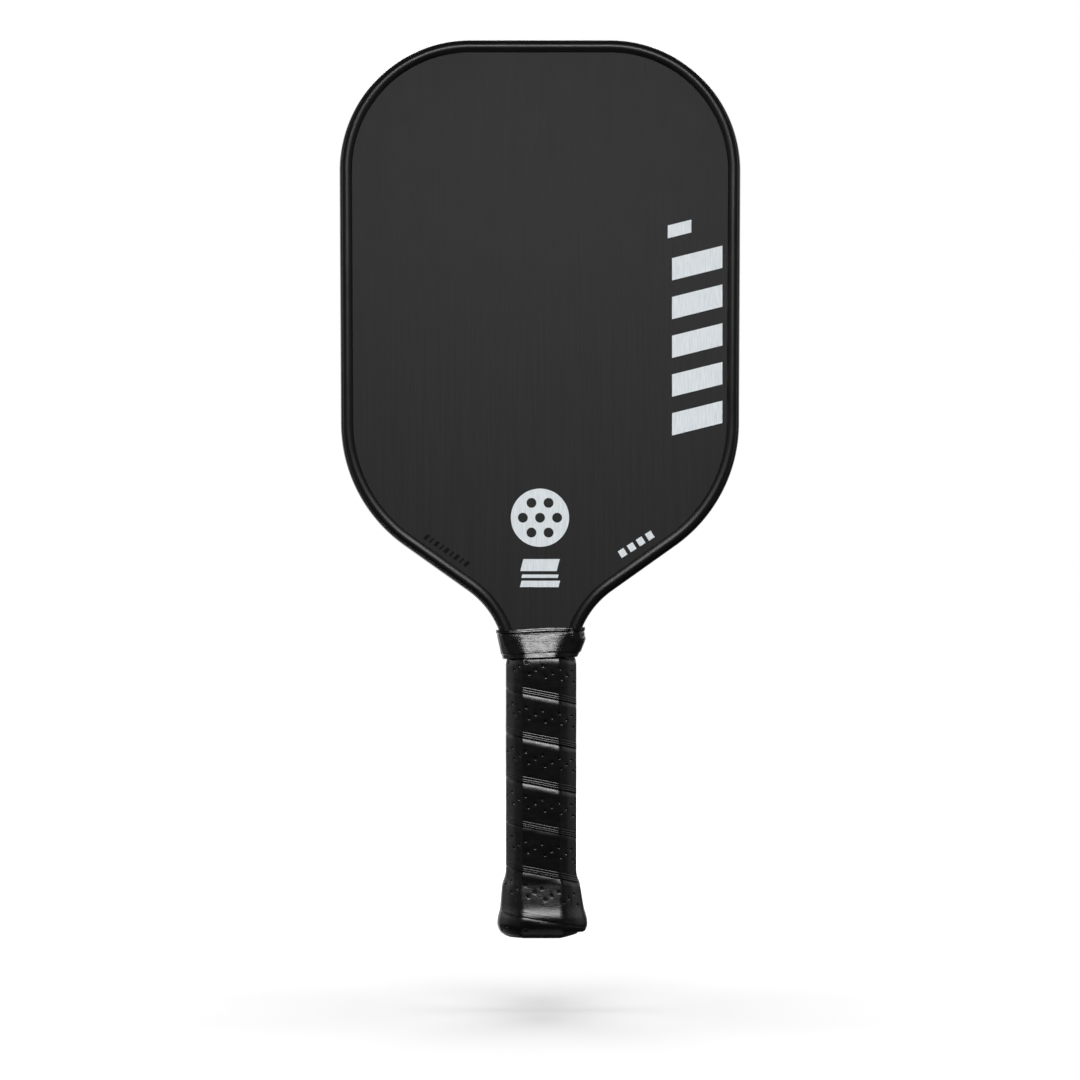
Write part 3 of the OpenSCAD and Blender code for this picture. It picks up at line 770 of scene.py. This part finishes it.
def carbon_finish():
    """Raw peel-ply carbon: matt charcoal with fine upright fibres and the cloth's cross threads."""
    finish = Finish("carbon_face", Specular_IOR_Level=0.33)
    fibres = finish.noise(0.7 * MM, (1, 1, 60), 3.0, 0.6)
    mottle = finish.noise(9 * MM, (1, 1, 1.6), 4.0)
    finish.mix(finish.ramp(fibres, 0, 1), (0.005, 0.005, 0.0052), (0.012, 0.012, 0.0123))
    blend = finish.math("ADD", finish.math("MULTIPLY", fibres, 0.75), finish.math("MULTIPLY", mottle, 0.25))
    finish.roughness(blend, 0.54, 0.63)
    upright = finish.waves(0.55 * MM, "X")
    level = finish.waves(0.62 * MM, "Z")
    weave = finish.math("ADD", finish.math("MULTIPLY", upright, 0.5), finish.math("MULTIPLY", level, 0.35))
    under = finish.bump(weave, 0.012 * MM, 0.7)
    finish.bump(fibres, 0.03 * MM, 0.6, under)
    return finish.material


def guard_finish():
    """Satin black moulding with slightly uneven gloss."""
    finish = Finish("guard_satin", Specular_IOR_Level=0.48)
    grain = finish.noise(0.35 * MM, detail=2.0)
    cloud = finish.noise(18 * MM)
    finish.mix(cloud, (0.002, 0.002, 0.002), (0.0035, 0.0035, 0.0036))
    finish.roughness(cloud, 0.34, 0.4)
    finish.bump(grain, 0.003 * MM, 0.3)
    return finish.material


def grip_finish():
    """Satin synthetic leather with a fine pebble and faint creases, and a painted highlight in light grey
    on its lower right edge.
    """
    finish = Finish("grip_leather", Specular_IOR_Level=0.5)
    cells = finish.node("ShaderNodeTexVoronoi", Vector=finish.place, Scale=1 / (0.7 * MM))
    pebble = finish.math("MINIMUM", cells.outputs["Distance"], 0.6)
    grain = finish.noise(0.5 * MM, detail=4.0)
    crease = finish.noise(5 * MM, (1.6, 1.6, 0.5), 4.0)
    leather = finish.mix(crease, (0.0018, 0.0018, 0.0018), (0.0035, 0.0035, 0.0035))
    finish.roughness(crease, 0.22, 0.32)
    place = finish.node("ShaderNodeSeparateXYZ", Vector=finish.place)
    # The light grey mixed in below is a painted highlight on the strip's lower right edge, by its foot, not
    # the leather's own colour.
    on_right = finish.ramp(place.outputs["X"], 0, 1, 9.5 * MM, 13 * MM)
    at_foot = finish.ramp(place.outputs["Z"], 1, 0, 2.7 * MM, 3.5 * MM)
    painted_edge_highlight = finish.math("MULTIPLY", on_right, at_foot)
    finish.mix(painted_edge_highlight, leather, (0.035, 0.035, 0.035))
    under = finish.bump(crease, 0.15 * MM, 0.25)
    stretched = finish.ramp(place.outputs["Z"], 1, 0, 22 * MM, 27 * MM)
    under = finish.bump(finish.noise(1.1 * MM, (1, 1, 0.8), 5.0, 0.7), 0.07 * MM, stretched, under)
    under = finish.bump(pebble, 0.02 * MM, 0.5, under)
    finish.bump(grain, 0.02 * MM, 0.4, under)
    return finish.material


def tape_finish():
    """Glossy stretched vinyl with level stretch lines."""
    finish = Finish("collar_vinyl", Specular_IOR_Level=0.5)
    streaks = finish.noise(1.1 * MM, (9, 9, 0.6), 5.0)
    cloud = finish.noise(4 * MM, (1, 1, 0.6))
    finish.mix(cloud, (0.0015, 0.0015, 0.0018), (0.003, 0.003, 0.0035))
    finish.roughness(cloud, 0.16, 0.28)
    under = finish.bump(streaks, 0.2 * MM, 0.8)
    finish.bump(cloud, 0.4 * MM, 0.4, under)
    return finish.material


def moulded_finish(name, low, high, roughness):
    """Plain moulded plastic with a fine spark-eroded grain."""
    finish = Finish(name)
    cloud = finish.noise(6 * MM)
    spread = 0.06
    finish.mix(cloud, low, high)
    finish.roughness(cloud, roughness - spread, roughness + spread)
    finish.bump(finish.noise(0.25 * MM, detail=2.0), 0.01 * MM, 0.6)
    return finish.material


def ink_finish(name, low, high, shine):
    """Screen-printed ink that lets the cloth's threads show a little."""
    finish = Finish(name, Specular_IOR_Level=shine)
    fibres = finish.noise(0.5 * MM, (1, 1, 14), 3.0)
    finish.mix(finish.ramp(fibres, 0, 1, 0.25, 0.75), low, high)
    finish.roughness(fibres, 0.45, 0.6)
    finish.bump(finish.waves(0.55 * MM, "X"), 0.008 * MM, 0.5)
    return finish.material


def fleece_finish():
    """White spunbonded web."""
    finish = Finish("fleece", Roughness=0.9, Sheen_Weight=0.3)
    web = finish.noise(1.2 * MM, (3, 3, 0.6), 5.0)
    finish.mix(web, (0.66, 0.67, 0.68), (0.9, 0.9, 0.9))
    finish.bump(web, 0.1 * MM, 0.8)
    return finish.material


def foam_finish():
    """Dark foam with a fine cell pattern on its skin."""
    finish = Finish("skinned_foam", Roughness=0.7)
    cells = finish.node("ShaderNodeTexVoronoi", Vector=finish.place, Scale=1 / (0.8 * MM))
    finish.mix(cells.outputs["Distance"], (0.016, 0.016, 0.017), (0.034, 0.034, 0.035))
    finish.bump(cells.outputs["Distance"], 0.15 * MM, 0.6)
    return finish.material


def wire_finish():
    """Drawn steel wire."""
    finish = Finish("staple_wire", Metallic=1.0)
    drawn = finish.noise(0.2 * MM, (12, 1, 1), 3.0)
    finish.mix(drawn, (0.5, 0.5, 0.52), (0.7, 0.7, 0.72))
    finish.roughness(drawn, 0.22, 0.4)
    return finish.material


def dress(material, *names):
    """Gives carried-over CAD nodes a material."""
    for name in names:
        node = nodes[name]
        node.data.materials.clear()
        node.data.materials.append(material)


def dress_nodes():
    dress(carbon_finish(), "face_sheet_front", "face_sheet_back")
    plastic = moulded_finish("natural_polypropylene", (0.78, 0.8, 0.8), (0.9, 0.91, 0.9), 0.45)
    dress(plastic, "honeycomb_core")
    dress(fleece_finish(), "core_scrim_front", "core_scrim_back")
    dress(moulded_finish("foam_tape", (0.2, 0.2, 0.2), (0.3, 0.3, 0.3), 0.8), "edge_bond_tape")
    dress(foam_finish(), "handle_pallet_front", "handle_pallet_back")
    dress(wire_finish(), "cap_staples")
    badge = moulded_finish("badge_black", (0.014, 0.014, 0.015), (0.024, 0.024, 0.025), 0.25)
    dress(badge, "butt_badge")
    light = ink_finish("pale_ink", (0.66, 0.71, 0.74), (0.86, 0.91, 0.94), 0.5)
    dress(light, "side_bars_front", "side_bars_back", "ball_emblem_front", "ball_emblem_back")
    dress(light, "rating_bars_front", "edge_dashes_front")
    dark = ink_finish("dark_ink", (0.002, 0.002, 0.002), (0.0035, 0.0035, 0.0035), 0.12)
    dress(dark, "lot_ticks_front")


# ---------- Studio ----------
def camera():
    data = bpy.data.cameras.new("camera")
    data.sensor_width = SENSOR_WIDTH
    data.lens = data.sensor_width * VIEW_DISTANCE / VIEW_WIDTH
    made = bpy.data.objects.new("camera", data)
    made.location = (0, -VIEW_DISTANCE, VIEW_HEIGHT)
    made.rotation_euler = (math.radians(90), 0, 0)
    bpy.context.scene.collection.objects.link(made)
    bpy.context.scene.camera = made


def area_light(name, place, target, width, height, power):
    """A softbox that the camera doesn't see."""
    data = bpy.data.lights.new(name, "AREA")
    data.shape = "RECTANGLE"
    data.size, data.size_y = width, height
    data.energy = power
    made = bpy.data.objects.new(name, data)
    made.location = place
    made.rotation_euler = (Vector(target) - Vector(place)).to_track_quat("-Z", "Y").to_euler()
    made.visible_camera = False
    bpy.context.scene.collection.objects.link(made)
    return made


def floor():
    """A white floor with softboxes of its own. Gives the receivers of all other lights, which leave it out.

    Only the camera sees it, so it lights nothing and shows in no reflection.
    """
    mesh = bpy.data.meshes.new("studio_floor")
    corners = [(-1, -1), (1, -1), (1, 1), (-1, 1)]
    points = [(x * FLOOR_REACH, y * FLOOR_REACH, -HOVER) for x, y in corners]
    mesh.from_pydata(points, [], [(0, 1, 2, 3)])
    white = {"Base_Color": (0.8, 0.8, 0.8, 1), "Emission_Color": (1, 1, 1, 1)}
    finish = Finish("studio_white", Roughness=1.0, Specular_IOR_Level=0.0, **white)
    away = finish.node("ShaderNodeVectorMath", Vector=finish.place)
    away.operation = "LENGTH"
    glow = finish.ramp(away.outputs["Value"], FLOOR_GLOW, 1.0, *FLOOR_FADE)
    finish.tree.links.new(glow, finish.shader.inputs["Emission Strength"])
    mesh.materials.append(finish.material)
    made = bpy.data.objects.new("studio_floor", mesh)
    bpy.context.scene.collection.objects.link(made)
    made.visible_diffuse = made.visible_glossy = made.visible_shadow = False
    alone, spared = (bpy.data.collections.new(name) for name in ("floor_alone", "all_but_the_floor"))
    alone.objects.link(made)
    spared.objects.link(made)
    spared.collection_objects[0].light_linking.link_state = "EXCLUDE"
    for name, softbox in FLOOR_SOFTBOXES.items():
        area_light(name, *softbox).light_linking.receiver_collection = alone
    return spared


def world():
    """White all round to the eye, and dim as light."""
    made = bpy.data.worlds.new("studio")
    bpy.context.scene.world = made
    made.use_nodes = True
    tree = made.node_tree
    background = tree.nodes["Background"]
    path = tree.nodes.new("ShaderNodeLightPath")
    strength = tree.nodes.new("ShaderNodeMath")
    strength.operation = "MAXIMUM"
    tree.links.new(path.outputs["Is Camera Ray"], strength.inputs[0])
    strength.inputs[1].default_value = AMBIENT
    tree.links.new(strength.outputs["Value"], background.inputs["Strength"])
    background.inputs["Color"].default_value = (1, 1, 1, 1)


def studio():
    bpy.context.scene.view_settings.view_transform = "Standard"
    camera()
    spared = floor()
    world()
    for name, softbox in SOFTBOXES.items():
        area_light(name, *softbox).light_linking.receiver_collection = spared


studio()
dress_nodes()
edge_guard(guard_finish())
grip_wrap(grip_finish())
butt_cap(moulded_finish("cap_black", (0.012, 0.012, 0.0125), (0.018, 0.018, 0.0185), 0.4))
collar(tape_finish())
